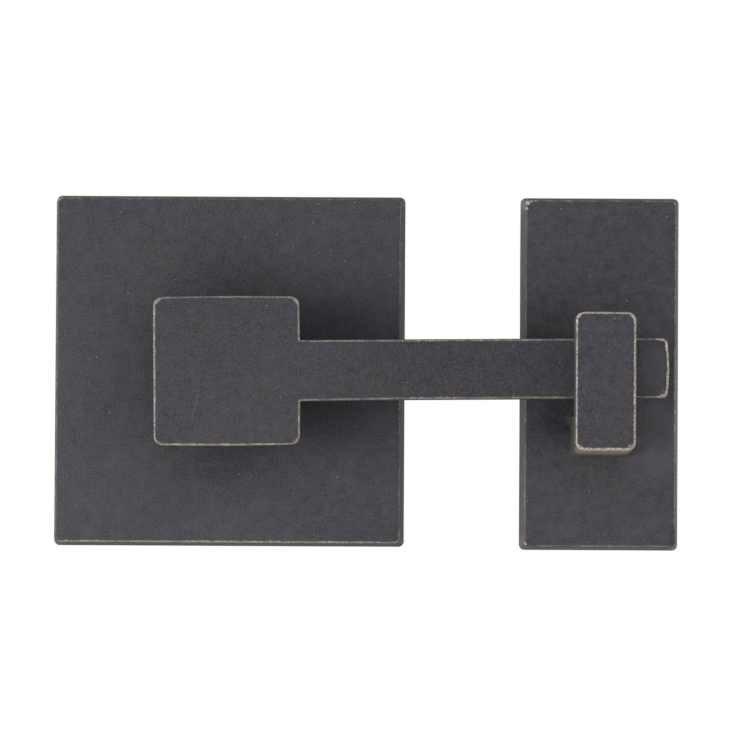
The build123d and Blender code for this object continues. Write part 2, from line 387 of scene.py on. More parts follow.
def makeBasePlate():
    look = basePlate
    worn = []
    low, high = nodeBox("base_plate")
    bm = bmesh.new()
    plateBlank(bm, low, high, look, worn)
    reach = high.x - look["lean"]["right"] - look["corner"]
    grid(bm, 0, look["gridStep"], (-reach, reach))
    grid(bm, 2, look["gridStep"], (-reach, reach))
    thickness = look["thickness"]
    clear, step = look["sideStep"]
    grid(bm, 1, step, (-thickness + clear, -clear))
    plate = meshOf(bm, "base_plate_casting")

    foot, front, bossFront = look["boss"]
    root, edge = look["bossRoot"], look["bossEdge"]
    core, rim, under = look["bossSunk"]
    outer = foot + root + rim
    bm = bmesh.new()
    profile = [(0, thickness - core), (outer, thickness - core), (outer, thickness - under)]
    profile += [(foot + root - x, thickness + y) for x, y in arc((0, root), root, -90, 0, steps=6)]
    profile += [(front - edge + x, bossFront - edge + y) for x, y in arc((0, 0), edge, 0, 90, steps=3)]
    profile += [(0, bossFront)]
    lathe(bm, profile, look["turnSteps"])
    combine(plate, bm, "UNION")

    radius, depth = look["recess"]
    chamfer, bore = look["backChamfer"], look["bore"]
    past = 0.5  # how far the cutter stands out of the metal
    recess = [(0, -past), (radius + chamfer + past, -past), (radius, chamfer), (radius, depth),
              (bore, depth), (bore, bossFront + past), (0, bossFront + past)]
    half = look["holeSpacing"] / 2
    tapHoles(plate, look, [(x, z) for x in (-half, half) for z in (-half, half)], recess)
    narrower, part = look["narrower"]

    def bow(v):  # the left side isn't quite square to the top
        outwards = max(0, -v.co.x / high.x - (1 - part)) / part
        v.co.x += narrower * outwards * (v.co.z - low.z) / (high.z - low.z)

    finishCasting(plate, look, worn, "root", "base_plate", bow)
    return plate


# Lever

lever = {
    "hub": (18.5, 18.8),  # width, height
    "proud": {"right": -0.03, "top": -0.05, "bottom": 0.12},  # the hub isn't quite true to its journal
    "crown": 0.12,  # how far the hub's top and bottom are bowed
    "sideCrown": 0.06,
    "arm": 7.6,
    "reach": 55.15,
    "tipBulge": (0.3, 3.0),  # how far the tip is bowed out, and the length of arm that it moves
    "sag": (0.06, 0.15, 13.0),  # the arm's lower side stands out: by, more at the hub, over what length
    "back": 9.05,
    "front": 13.55,
    "lean": {"left": 0.12, "right": 0.12, "top": 0.12, "bottom": 0.12},
    "hubCorner": 1.05,
    "armCorner": 0.6,
    "armRoot": 0.15,
    "edge": 0.38,
    "backChamfer": 0.2,
    "journal": (3.5, 3.6),  # radius, depth of its end
    "journalChamfer": 0.15,
    "square": (4.5, 2.9, 0.3),  # width, depth of its end, rounding
    "boreDepth": 10.7,
    "drillPoint": 0.6,  # length of the bore's point for its radius
    "thread": (1.25, 1.5, 0.5),  # M3: hole radius, outer radius, pitch
    "threadRoot": 0.04,
    "threadEnds": (0.3, 0.6),  # outside the bore's mouth, short of its end
    "joined": (1.0, 0.5),  # how far the journal reaches into the hub, and the square into it
    "turnSteps": (72, 40, 24),  # round the journal, the bore, the thread
    "tipZone": 2.0,  # what is this near the tip wears like it
    "journalRoom": 0.5,  # bowing leaves this much round the journal alone
    "sagStart": 0.95,  # share of the hub's half where the arm's sag starts
    "lift": 0.6,  # degrees above level
    "gridStep": 1.0,
    "gridClear": (1.2, 1.0),  # from the hub's side, and from other edges
    "wave": 7.0,
    "shift": (20.0, 5.0, 0.0),
    "wear": {"left": 0.58, "right": 0.62, "top": 0.42, "bottom": 0.6, "arm": 0.45, "tip": 1.0, "corner": 0.1,
             "back": 0.2},
}


def leverBlank(bm, look, worn):  # hub and arm in one, with their edges rounded
    wear = look["wear"]
    hub, high, arm = look["hub"][0] / 2, look["hub"][1] / 2, look["arm"] / 2
    back, front = look["back"], look["front"]
    pivot = Vector((0, 0, 0))
    block(bm, (-hub, -front, -high), (hub, -back, high))
    slices(bm, 2, (-arm, arm))
    side = [f for f in bm.faces if abs(f.normal.x - 1) < slack and abs(f.calc_center_median().z) < arm]
    tip = drawOut(bm, side)[0]
    bmesh.ops.translate(bm, vec=(look["reach"] - look["tipBulge"][0] - hub, 0, 0), verts=tip)
    bmesh.ops.dissolve_limit(bm, angle_limit=slack, verts=bm.verts[:], edges=bm.edges[:])
    leanIn(bm.verts, pivot, look["lean"], back, front)

    upright = [e for e in bm.edges if runsAlong(e, 1)]
    roots = [e for e in upright if not e.is_convex]
    tips = [e for e in upright if e.verts[0].co.x > 2 * hub]
    corners = [e for e in upright if e not in roots and e not in tips]
    roundEdges(bm, worn, roots, look["armRoot"], 0, segments=4)
    for edges, radius in ((corners, look["hubCorner"]), (tips, look["armCorner"])):
        roundEdges(bm, worn, [e for e in edges if e.is_valid], radius, wear["corner"], segments=6)

    def frontWear(edge):
        place = middleOf(edge).x
        if place > hub:
            return wear["tip" if place > look["reach"] - look["tipZone"] else "arm"]
        return wear[sideOf(edge, pivot)]

    roundEdges(bm, worn, rimAt(bm, -front), look["edge"], frontWear, segments=5)
    roundEdges(bm, worn, rimAt(bm, -back), look["backChamfer"], wear["back"])

    step = look["gridStep"]
    rootClear, clear = look["gridClear"]
    hubIn, armIn = look["lean"]["left"] + look["hubCorner"], look["lean"]["left"] + look["armCorner"]
    grid(bm, 0, step, (-hub + hubIn, hub - hubIn),
         (hub + rootClear, look["reach"] - look["tipBulge"][0] - armIn))
    grid(bm, 2, step, (-high + hubIn, -arm - clear), (-arm + armIn, arm - armIn),
         (arm + clear, high - hubIn))
    grid(bm, 1, step, (-front + clear, -back - clear))


def addJournal(piece, look):  # the turned journal, its square end and the tapped bore for the screw
    radius, end = look["journal"]
    chamfer = look["journalChamfer"]
    hubSunk, squareSunk = look["joined"]
    inside = look["back"] + hubSunk
    steps, boreSteps, threadSteps = look["turnSteps"]
    bm = bmesh.new()
    lathe(bm, [(0, end), (radius - chamfer, end), (radius, end + chamfer), (radius, inside), (0, inside)],
          steps)
    combine(piece, bm, "UNION")

    width, squareEnd, rounding = look["square"]
    bm = bmesh.new()
    block(bm, (-width / 2, -end - squareSunk, -width / 2), (width / 2, -squareEnd, width / 2))
    bevel(bm, [e for e in bm.edges if runsAlong(e, 1)], rounding, segments=2)
    combine(piece, bm, "UNION")

    inner = look["thread"][0]
    depth = look["boreDepth"]
    past = 0.5  # how far the cutter stands out of the metal
    bm = bmesh.new()
    lathe(bm, [(0, squareEnd - past), (inner, squareEnd - past), (inner, depth),
               (0, depth + inner * look["drillPoint"])], boreSteps)
    combine(piece, bm, "DIFFERENCE")
    outside, short = look["threadEnds"]
    bm = bmesh.new()
    threadedRod(bm, look, squareEnd - outside, depth - short, threadSteps)
    combine(piece, bm, "DIFFERENCE")


def makeLever():
    look = lever
    worn = []
    bm = bmesh.new()
    leverBlank(bm, look, worn)
    piece = meshOf(bm, "lever_casting")
    addJournal(piece, look)

    hub, high, arm = look["hub"][0] / 2, look["hub"][1] / 2, look["arm"] / 2
    bulge, bowed = look["tipBulge"]
    shoulder = look["reach"] - bowed
    sag, rootSag, sagLength = look["sag"]
    proud = look["proud"]
    journalClear = look["journal"][0] + look["journalRoom"]

    def bow(v):  # the tip is rounded outwards a little, and the hub and the arm aren't quite true
        if -v.co.y < look["back"] - slack or math.hypot(v.co.x, v.co.z) < journalClear:
            return
        share = max(0, (v.co.x - shoulder) / (bowed - bulge))
        v.co.x += bulge * share * (1 - (v.co.z / arm) ** 2)
        across, up = v.co.x / hub, v.co.z / high
        if across > 0 and (abs(up) > arm / high or across < 1):
            v.co.x += (proud["right"] - look["sideCrown"] * up ** 2) * across
        if abs(v.co.z) > arm + look["armRoot"]:
            v.co.z -= look["crown"] * across ** 2 * up * abs(up)
            v.co.z -= proud["bottom"] * max(0, -up) ** 2
            v.co.z += proud["top"] * max(0, up) ** 2
        elif across > look["sagStart"] and up < 0:
            v.co.z += (sag + rootSag * max(0, 1 - (v.co.x - hub) / sagLength)) * v.co.z / arm

    finishCasting(piece, look, worn, "lever", "lever", bow, look["lift"])
    return piece


# Strike plate with its keeper

strike = {
    **plateShape,
    "lean": {"left": 0.47, "right": 0.55, "top": 0.4, "bottom": 0.55},
    "keeperHalf": 3.75,  # half its width
    "footLean": 1.0,  # how much further down the foot comes at the plate
    "footLeanStart": 4.55,  # depth where that lean is measured
    "capBack": 14.2,
    "capTop": 7.4,
    "slotFloor": -5.55,
    "footBottom": -9.75,
    "keeperCorner": 1.1,
    "capEdge": 0.4,
    "slotCorner": 1.0,
    "blend": 0.4,  # round the keeper's root and along the rims of its slot
    "bends": (30, 52),  # degrees; an edge that is bent more is rounded: the keeper's outline, the rest
    "near": (0.5, 0.2),  # what is this near counts as on the slot's floor, as on the keeper's sides
    "gridStep": 1.2,
    "gridClear": {"corner": 0.2, "root": 0.7, "slot": 0.6, "top": 0.4, "depth": 0.8, "front": 1.0},
    "wave": 8.0,
    "shift": (50.0, 0.0, 30.0),
    "wear": {"left": 0.3, "right": 0.5, "top": 0.38, "bottom": 0.4, "corner": 0.1, "back": 0.2},
    "capWear": {"left": 0.62, "right": 1.15, "top": 0.8, "bottom": 1.3, "rim": 0.0, "corner": 0.1},
}


def drawKeeper(bm, look, middle, capFront, bottom):  # foot and cap are drawn out of the plate's front
    thickness, slotFloor = look["thickness"], look["slotFloor"]
    half, footBottom = look["keeperHalf"], bottom(look["thickness"])
    slices(bm, 0, (middle.x - half, middle.x + half))
    slices(bm, 2, (footBottom, slotFloor))

    def pull(faces, depth):  # draws faces forward to a depth
        moved, ends = drawOut(bm, faces)
        for v in moved:
            v.co.y = -depth
            v.co.x = middle.x + math.copysign(half, v.co.x - middle.x)
            if v.co.z < slotFloor - look["near"][0]:
                v.co.z = bottom(depth)
        return ends

    def insideFoot(face):
        place = face.calc_center_median()
        return (abs(place.x - middle.x) < half and footBottom < place.z < slotFloor
                and abs(place.y + thickness) < slack)

    foot = pull([f for f in bm.faces if insideFoot(f)], look["capBack"])
    pull(foot, capFront)
    capFloor = [f for f in bm.faces if abs(f.calc_center_median().z - slotFloor) < slack
                and -f.calc_center_median().y > look["capBack"]]
    for v in drawOut(bm, capFloor)[0]:
        v.co.z = look["capTop"]
    keeper = [f for f in bm.faces if -f.calc_center_median().y > thickness + slack]
    edges = list({e for f in keeper for e in f.edges})
    bmesh.ops.dissolve_limit(bm, angle_limit=slack, verts=list({v for e in edges for v in e.verts}),
                             edges=[e for e in edges if all(f in keeper for f in e.link_faces)])


def roundKeeper(bm, look, worn, middle, capFront):
    thickness, slotFloor = look["thickness"], look["slotFloor"]
    wear, corner = look["capWear"], look["keeperCorner"]
    bend, restBend = look["bends"]
    nearFloor, beside = look["near"]
    lengthwise = [e for e in bm.edges if any(-v.co.y > thickness + slack for v in e.verts) and bent(e, bend)
                  and runsAlong(e, 1) and abs(middleOf(e).z - slotFloor) > nearFloor]
    roundEdges(bm, worn, lengthwise, corner, wear["corner"], segments=8)
    floor = [e for e in rimAt(bm, slotFloor, bend, axis=2) if runsAlong(e, 0) and not e.is_convex]
    roundEdges(bm, worn, floor, look["slotCorner"], 0, segments=6)

    def outlineWear(edge):
        place = middleOf(edge)
        if place.z > look["capTop"] - corner / 2:
            return wear["top"]
        if place.z < look["footBottom"] + corner / 2:
            return wear["bottom"]
        return wear["right"] if place.x > middle.x else wear["left"]

    roundEdges(bm, worn, rimAt(bm, -capFront, bend), look["capEdge"], outlineWear, segments=6)

    def onKeeper(edge):
        depths = [-v.co.y for v in edge.verts]
        across = abs(middleOf(edge).x - middle.x)
        return (min(depths) > thickness - slack and max(depths) < look["capBack"] + slack
                and across < look["keeperHalf"] + beside)

    rest = [e for e in bm.edges if bent(e, restBend) and onKeeper(e)]
    roundEdges(bm, worn, rest, look["blend"], wear["rim"], segments=4)


def makeStrike():
    look = strike
    worn = []
    low, high = nodeBox("strike")
    middle = (low + high) / 2
    capFront = -low.y
    thickness = look["thickness"]
    bm = bmesh.new()
    plateBlank(bm, low, high, look, worn)

    def bottom(depth):  # height of the foot's lower side
        share = (capFront - depth) / (capFront - look["footLeanStart"])
        return look["footBottom"] - look["footLean"] * share

    drawKeeper(bm, look, middle, capFront, bottom)
    roundKeeper(bm, look, worn, middle, capFront)

    step, room = look["gridStep"], look["gridClear"]
    clear = look["keeperCorner"] + room["corner"]
    left, right = middle.x - look["keeperHalf"], middle.x + look["keeperHalf"]
    slotFloor, capTop, capBack = look["slotFloor"], look["capTop"], look["capBack"]
    grid(bm, 0, step, (low.x + clear, left - room["root"]), (left + clear, right - clear),
         (right + room["root"], high.x - clear))
    grid(bm, 2, step, (low.z + clear, bottom(thickness) - room["root"]),
         (look["footBottom"] + clear, slotFloor - room["slot"]), (slotFloor + clear, capTop - clear),
         (capTop + room["top"], high.z - clear))
    grid(bm, 1, step, (-capFront + room["front"], -capBack - room["depth"]),
         (-capBack + room["depth"], -thickness - room["depth"]))
    sideClear, sideStep = look["sideStep"]
    grid(bm, 1, sideStep, (-thickness + sideClear, -sideClear))
    piece = meshOf(bm, "strike_casting")

    half = look["holeSpacing"] / 2
    tapHoles(piece, look, [(middle.x, middle.z - half), (middle.x, middle.z + half)])
    finishCasting(piece, look, worn, "root", "strike")
    return piece


# Pivot screw: a pan head with a cross recess, driven from behind into the lever's journal

screw = {
    "headRadius": 2.8,
    "headHeight": 1.8,
    "crown": 0.5,  # height of the domed part of the head
    "rimRound": 0.25,
    "belowBack": 0.3,  # the head stays this far inside the plate's back
    "length": 8.0,
    "thread": (1.2, 1.46, 0.5),  # core's radius, outer radius, pitch
    "threadRoot": 0.02,
    "plain": 0.4,  # length under the head without a thread
    "coreShort": 0.3,  # how far the core ends before the tip
    "lead": 0.4,  # chamfer at the tip
    "recess": (0.62, 2.7, 1.1),  # width of an arm, across both, depth
    "recessTaper": 0.25,
    "turnSteps": (64, 32),  # round the head and shank, round the thread
}


def makeScrew():
    look = screw
    back = look["belowBack"]
    headFront = back + look["headHeight"]
    tip = headFront + look["length"]
    radius, crown, rounding = look["headRadius"], look["crown"], look["rimRound"]
    ball = (radius ** 2 + crown ** 2) / (2 * crown)  # radius of the dome
    reach = math.degrees(math.asin(radius / ball))
    dome = arc((0, back + ball), ball, -90, -90 + reach, steps=10)
    rim = arc((radius - rounding, headFront - rounding), rounding, 0, 90, steps=4)
    coreEnd = tip - look["coreShort"]
    core, outer, _ = look["thread"]
    steps, threadSteps = look["turnSteps"]
    bm = bmesh.new()
    lathe(bm, dome + rim + [(core, headFront), (core, coreEnd), (0, coreEnd)], steps)
    piece = meshOf(bm, "pivot_screw_detailed")
    bm = bmesh.new()
    threadedRod(bm, look, headFront + look["plain"], tip, threadSteps)
    combine(piece, bm, "UNION")

    lead = look["lead"]
    headRoom = (1.0, 0.1)  # the envelope clears the head by this much round it and below it
    shankRoom = 0.2
    headEnd = headFront + headRoom[1]
    bm = bmesh.new()
    lathe(bm, [(0, 0), (radius + headRoom[0], 0), (radius + headRoom[0], headEnd),
               (outer + shankRoom, headEnd), (outer + shankRoom, tip - lead - shankRoom),
               (outer - lead, tip), (0, tip)], steps)
    combine(piece, bm, "INTERSECT")

    width, across, depth = look["recess"]
    past = 1.0  # how far the cutter stands out of the metal
    for size in ((width, across), (across, width)):
        bm = bmesh.new()
        block(bm, (-size[0] / 2, -back - depth, -size[1] / 2), (size[0] / 2, past, size[1] / 2))
        for v in bm.verts:  # the recess narrows as it goes in
            if v.co.y < 0:
                v.co.x *= 1 - look["recessTaper"]
                v.co.z *= 1 - look["recessTaper"]
        combine(piece, bm, "DIFFERENCE")
    bm = meshFrom(piece, finishing["turnedMerge"])
    finishPiece(bm, piece, "lever", "pivot_screw", finishing["turnedHard"], lever["lift"])
    return piece


basePiece = makeBasePlate()
leverPiece = makeLever()
strikePiece = makeStrike()
screwPiece = makeScrew()


# Camera

camera = {
    "place": (17.387, -602.327, -6.363),  # mm
    "aim": (17.553, 0.0, 0.505),
    "roll": 0.302,  # degrees
    "lens": 231.62,
    "sensor": 36.0,
    "clip": (0.01, 20),  # metres
}


def makeCamera():
    data = bpy.data.cameras.new("camera")
    data.lens = camera["lens"]
    data.sensor_width = camera["sensor"]
    data.clip_start, data.clip_end = camera["clip"]
    made = placed("camera", data)
    place, aim = Vector(camera["place"]) * mm, Vector(camera["aim"]) * mm
    made.location = place
    made.rotation_mode = "QUATERNION"
    roll = Quaternion((0, 0, 1), math.radians(camera["roll"]))
    made.rotation_quaternion = (aim - place).to_track_quat("-Z", "Y") @ roll
    bpy.context.scene.camera = made


makeCamera()
print("camera placed")


# Shader trees: sums on a Wire add Math nodes, and any other node comes from Tree.add

class Wire:
    def __init__(self, tree, socket):
        self.tree = tree
        self.socket = socket

    def sum(self, operation, first, second):
        return self.tree.add("ShaderNodeMath", {"operation": operation}, {0: first, 1: second})

    def __add__(self, other):
        return self.sum("ADD", self, other)

    def __radd__(self, other):
        return self.sum("ADD", other, self)

    def __sub__(self, other):
        return self.sum("SUBTRACT", self, other)

    def __rsub__(self, other):
        return self.sum("SUBTRACT", other, self)

    def __mul__(self, other):
        return self.sum("MULTIPLY", self, other)

    def __rmul__(self, other):
        return self.sum("MULTIPLY", other, self)


class Tree:
    def __init__(self, owner):
        owner.use_nodes = True
        self.nodes = owner.node_tree.nodes
        self.links = owner.node_tree.links
        self.nodes.clear()

    def add(self, kind, settings=None, sockets=None, out=0):
        node = self.nodes.new(kind)
        for name, value in (settings or {}).items():
            setattr(node, name, value)
        for name, value in (sockets or {}).items():
            if isinstance(value, Wire):
                self.links.new(value.socket, node.inputs[name])
            else:
                node.inputs[name].default_value = value
        return Wire(self, node.outputs[out] if len(node.outputs) else None)

    def vectors(self, operation, first, second, out=0):
        return self.add("ShaderNodeVectorMath", {"operation": operation}, {0: first, 1: second}, out)

    def blend(self, share, first, second, way="MIX"):
        return self.add("ShaderNodeMix", {"data_type": "RGBA", "blend_type": way},
                        {0: share, 6: first, 7: second}, 2)

    def tint(self, colour, amount):  # a colour times an amount that changes over the surface
        return self.blend(1.0, colour, amount, "MULTIPLY")

    def between(self, value, low, high):  # 0 below low, 1 above high, smooth from one to the other
        return self.add("ShaderNodeMapRange", {"interpolation_type": "SMOOTHSTEP"},
                        {"Value": value, "From Min": low, "From Max": high})

    def larger(self, first, second):
        return self.add("ShaderNodeMath", {"operation": "MAXIMUM"}, {0: first, 1: second})

    def attribute(self, name):
        return self.add("ShaderNodeAttribute", {"attribute_name": name}, out="Fac")

    def seenDirectly(self):  # 1 where the camera, a mirror or glass looks, 0 for light on the object
        seen = self.add("ShaderNodeLightPath", out="Is Camera Ray")
        for ray in ("Is Glossy Ray", "Is Transmission Ray"):
            seen = self.larger(seen, self.add("ShaderNodeLightPath", out=ray))
        return seen


class Finish(Tree):  # a material whose patterns are laid out in millimetres on the piece
    def __init__(self, name, shift=(0, 0, 0)):
        self.material = bpy.data.materials.new(name)
        super().__init__(self.material)
        where = self.add("ShaderNodeTexCoord", out="Object")
        self.place = self.add("ShaderNodeMapping", None, {"Vector": where, "Scale": [1 / mm] * 3})
        self.shifted = self.vectors("ADD", self.place, shift)

    def clouds(self, size, detail, stretch=(1, 1, 1), roughness=0.5, place=None):
        scaled = self.vectors("MULTIPLY", place or self.shifted, [1 / (size * s) for s in stretch])
        return self.add("ShaderNodeTexNoise", None, {
            "Vector": scaled, "Scale": 1.0, "Detail": detail, "Roughness": roughness})

    def farFrom(self, point):
        return self.vectors("DISTANCE", self.place, point, 1)

    def within(self, distance, reach, core):  # 1 inside a share of the reach, 0 past it
        return 1 - self.between(distance, reach * core, reach)

    def axis(self, name):
        return self.add("ShaderNodeSeparateXYZ", None, {0: self.place}, name)

    def radius(self):  # distance from the pivot axis
        flat = self.vectors("MULTIPLY", self.place, (1, 0, 1))
        return self.add("ShaderNodeVectorMath", {"operation": "LENGTH"}, {0: flat}, 1)

    def metal(self, colour, roughness, metallic, height, distance, gloss=0.5):  # distance in mm
        bump = self.add("ShaderNodeBump", None, {"Distance": distance * mm, "Height": height})
        shader = self.add("ShaderNodeBsdfPrincipled", None, {
            "Base Color": colour, "Roughness": roughness, "Metallic": metallic, "Normal": bump,
            "Specular IOR Level": gloss})
        self.add("ShaderNodeOutputMaterial", None, {"Surface": shader})
        return self.material


def shade(red, green, blue):  # a screen colour, 0 to 255, made linear
    parts = [c / 255 for c in (red, green, blue)]
    return (*[c / 12.92 if c < 0.04045 else ((c + 0.055) / 1.055) ** 2.4 for c in parts], 1)


# Dark patina on cast bronze, worn through at the edges, with painted light and shade on some places and
# walls. A range is where a mask rises from 0 to 1, a core is the share of a reach that has the full effect,
# and all sizes are in mm.

bronze = {
    "patina": shade(72, 71, 76),
    "blue": shade(70, 70, 77),
    "brown": shade(73, 71, 74),
    "wall": shade(67, 65, 60),
    "paintedWallLight": shade(120, 112, 104),
    "bare": shade(183, 174, 166),
    "halo": shade(88, 75, 68),
    "stain": shade(84, 77, 66),
    "pit": shade(34, 32, 36),
    "metallic": (0.1, 0.6),  # patina, bare metal
    "roughness": (0.55, 0.45),
    "gloss": 0.1,
    "clouds": {  # size, detail
        "cool": (8.0, 2), "warm": (6.4, 2), "uneven": (1.6, 3), "mottle": (1.1, 3), "pit": (0.4, 1),
        "fine": (0.3, 2), "grain": (0.25, 2), "brush": (0.22, 2), "speckle": (0.2, 1)},
    "grainRoughness": 0.6,
    "warmShift": (31, 17, 7),
    "grainDepth": 0.012,
    "blueRange": (0.45, 0.68),
    "brownRange": (0.5, 0.7),
    "walls": (0.4, 0.9, 0.85),  # range, share
    "grainTone": 1.5,
    "paintedShadeCore": 0.2,
    "stainCore": 0.45,
    "stainRagged": 5.0,
    "stainMix": (0.6, 0.4),  # mottle and fine grain in its patches
    "stainRange": (0.47, 0.6),
    "stainShare": 0.45,
    "paintedWallLightRange": (0.3, 0.8),
    "paintedWallLightTone": (0.45, 0.5, 0.6),  # least, and what speckle and mottle add
    "pits": (0.68, 0.76, 0.2),  # range, share
    "scratchRange": (0.02, 0.09),  # from the middle of its line outwards
    "scratchCore": 0.6,
    "scratchBroken": (0.35, 0.6),
    "spotCore": 0.4,
    "specks": (2.0, 0.1, 0.4, 0.7),  # spacing, size, core, share
    "wearReach": (0.012, 0.216),  # least, and what unevenness adds
    "wearRagged": 0.2,
    "wearSoft": 0.06,
    "wearBroken": 0.6,
    "wearRange": (0.05, 0.95),
    "haloReach": (0.02, 0.2),  # least, and what strong wear adds
    "haloShare": 0.5,
    "bareBroken": (0.38, 0.6),
    "bareLeast": 0.4,
    "bareTone": (0.86, 0.28),
    "roughGrain": (0.16, 0.2, 0.4),  # what mottle, grain and the sides add
    "relief": (1.2, 2.0, 0.8, 0.5),  # mottle, brush lines, pits and bare metal, beside the grain
}


def patinaColour(paint, look, mottle, grain, brush, fine, side):
    clouds = bronze["clouds"]
    cool = paint.clouds(*clouds["cool"])
    warm = paint.clouds(*clouds["warm"], place=paint.vectors("ADD", paint.shifted, bronze["warmShift"]))
    colour = paint.blend(paint.between(cool, *bronze["blueRange"]), bronze["patina"], bronze["blue"])
    colour = paint.blend(paint.between(warm, *bronze["brownRange"]), colour, bronze["brown"])
    low, high, share = bronze["walls"]
    colour = paint.blend(paint.between(side, low, high) * share, colour, bronze["wall"])
    tone = 1 + (mottle - 0.5) * look["mottle"] + (grain - 0.5) * bronze["grainTone"]
    tone = tone + (brush - 0.5) * look["brush"]
    # painted light and shade: places are painted paler where light falls, and darker where the hub, the arm
    # and the keeper shade each other and the plates
    for centre, reach, amount in look["paintedShadeAndLight"]:  # places a little paler or darker than the rest
        tone = tone + paint.within(paint.farFrom(centre), reach, bronze["paintedShadeCore"]) * amount
    colour = paint.tint(colour, tone)
    if "stain" in look:  # brown skin that a sander can't reach
        centre, reach = look["stain"]
        ragged = (mottle - 0.5) * bronze["stainRagged"]
        near = paint.within(paint.farFrom(centre) + ragged, reach, bronze["stainCore"])
        coarse, small = bronze["stainMix"]
        patches = paint.between(mottle * coarse + fine * small, *bronze["stainRange"])
        colour = paint.blend(near * patches * bronze["stainShare"], colour, bronze["stain"])
    return colour


def paintWallLight(paint, look, colour, mottle, fine, speckle):  # painted light: walls painted paler, with a speckle, where light and the room's reflection fall on them
    least, bySpeckle, byMottle = bronze["paintedWallLightTone"]
    for centre, full, end, way, share in look["paintedWallLight"]:
        near = 1 - paint.between(paint.farFrom(centre) + (fine - 0.5) * (end - full), full, end)
        near = near * paint.between(paint.attribute(way), *bronze["paintedWallLightRange"]) * share
        # the pale colour of the painted light on the walls
        paintedWallLight = paint.tint(bronze["paintedWallLight"], least + speckle * bySpeckle + mottle * byMottle)
        colour = paint.blend(near, colour, paintedWallLight)
    return colour


def flecks(paint, look, fine, speckle):  # scratches, bare spots and the specks that lie all over
    marks = 0.0
    for centre, radius, middle, half, depth in look["scratches"]:
        line = paint.add("ShaderNodeMath", {"operation": "ABSOLUTE"}, {0: paint.farFrom(centre) - radius})
        thin = 1 - paint.between(line, *bronze["scratchRange"])
        marks = thin * paint.within(paint.farFrom(middle), half, bronze["scratchCore"]) * depth + marks
    marks = marks * paint.between(speckle, *bronze["scratchBroken"])
    for centre, reach in look["spots"]:  # corners and flecks that are rubbed bare
        near = paint.farFrom(centre) + (fine - 0.5) * (reach * 2)
        marks = paint.larger(marks, paint.within(near, reach, bronze["spotCore"]))
    spacing, size, core, share = bronze["specks"]
    away = paint.add("ShaderNodeTexVoronoi", None, {"Vector": paint.shifted, "Scale": 1 / spacing}) * spacing
    return paint.larger(paint.within(away, size, core) * share, marks)


def castBronze(name, look):
    paint = Finish(name, look["shift"])
    clouds = bronze["clouds"]
    grain = paint.clouds(*clouds["grain"], roughness=bronze["grainRoughness"])
    brush = paint.clouds(*clouds["brush"], stretch=look["brushStretch"])
    mottle, fine, speckle, uneven, pit = [
        paint.clouds(*clouds[kind]) for kind in ("mottle", "fine", "speckle", "uneven", "pit")]
    side = paint.attribute("side")

    colour = patinaColour(paint, look, mottle, grain, brush, fine, side)
    colour = paintWallLight(paint, look, colour, mottle, fine, speckle)
    low, high, share = bronze["pits"]
    pits = paint.between(pit, low, high)
    colour = paint.blend(pits * share, colour, bronze["pit"])

    edge = paint.attribute("edgeDistance")
    strength = paint.attribute("edgeWear")
    least, more = bronze["wearReach"]
    reach = strength * (uneven * more + least) + (fine - 0.5) * bronze["wearRagged"]
    soft = bronze["wearSoft"]
    bare = 1 - paint.between(edge, reach - soft, reach + soft)
    bare = bare * paint.between(strength + (uneven - 0.5) * bronze["wearBroken"], *bronze["wearRange"])
    least, more = bronze["haloReach"]
    halo = 1 - paint.between(edge, reach, reach + more * strength + least)
    colour = paint.blend(halo * bronze["haloShare"], colour, bronze["halo"])
    bare = paint.larger(bare, flecks(paint, look, fine, speckle))
    least = bronze["bareLeast"]
    bare = bare * (least + (1 - least) * paint.between(speckle, *bronze["bareBroken"]))
    least, more = bronze["bareTone"]
    colour = paint.blend(bare, colour, paint.tint(bronze["bare"], least + fine * more))

    byMottle, byGrain, bySide = bronze["roughGrain"]
    dull, polished = bronze["roughness"]
    rough = dull + (mottle - 0.5) * byMottle + (grain - 0.5) * byGrain + side * bySide
    rough = rough - bare * (dull - polished)
    covered, uncovered = bronze["metallic"]
    metallic = covered + bare * (uncovered - covered)
    byMottle, byBrush, byPits, byBare = bronze["relief"]
    height = grain + mottle * byMottle + brush * (look["brush"] * byBrush) - pits * byPits - bare * byBare
    return paint.metal(colour, rough, metallic, height, bronze["grainDepth"], bronze["gloss"])


def wall(x, z, outwards, share):  # a wall as a row of painted light: the near part of a ball that is almost flat
    far, full, end = 500, 0.9, 2.2
    centre = (x + outwards[0] * far, -plateShape["thickness"] / 2, z + outwards[1] * far)
    return centre, far + full, far + end, "side", share
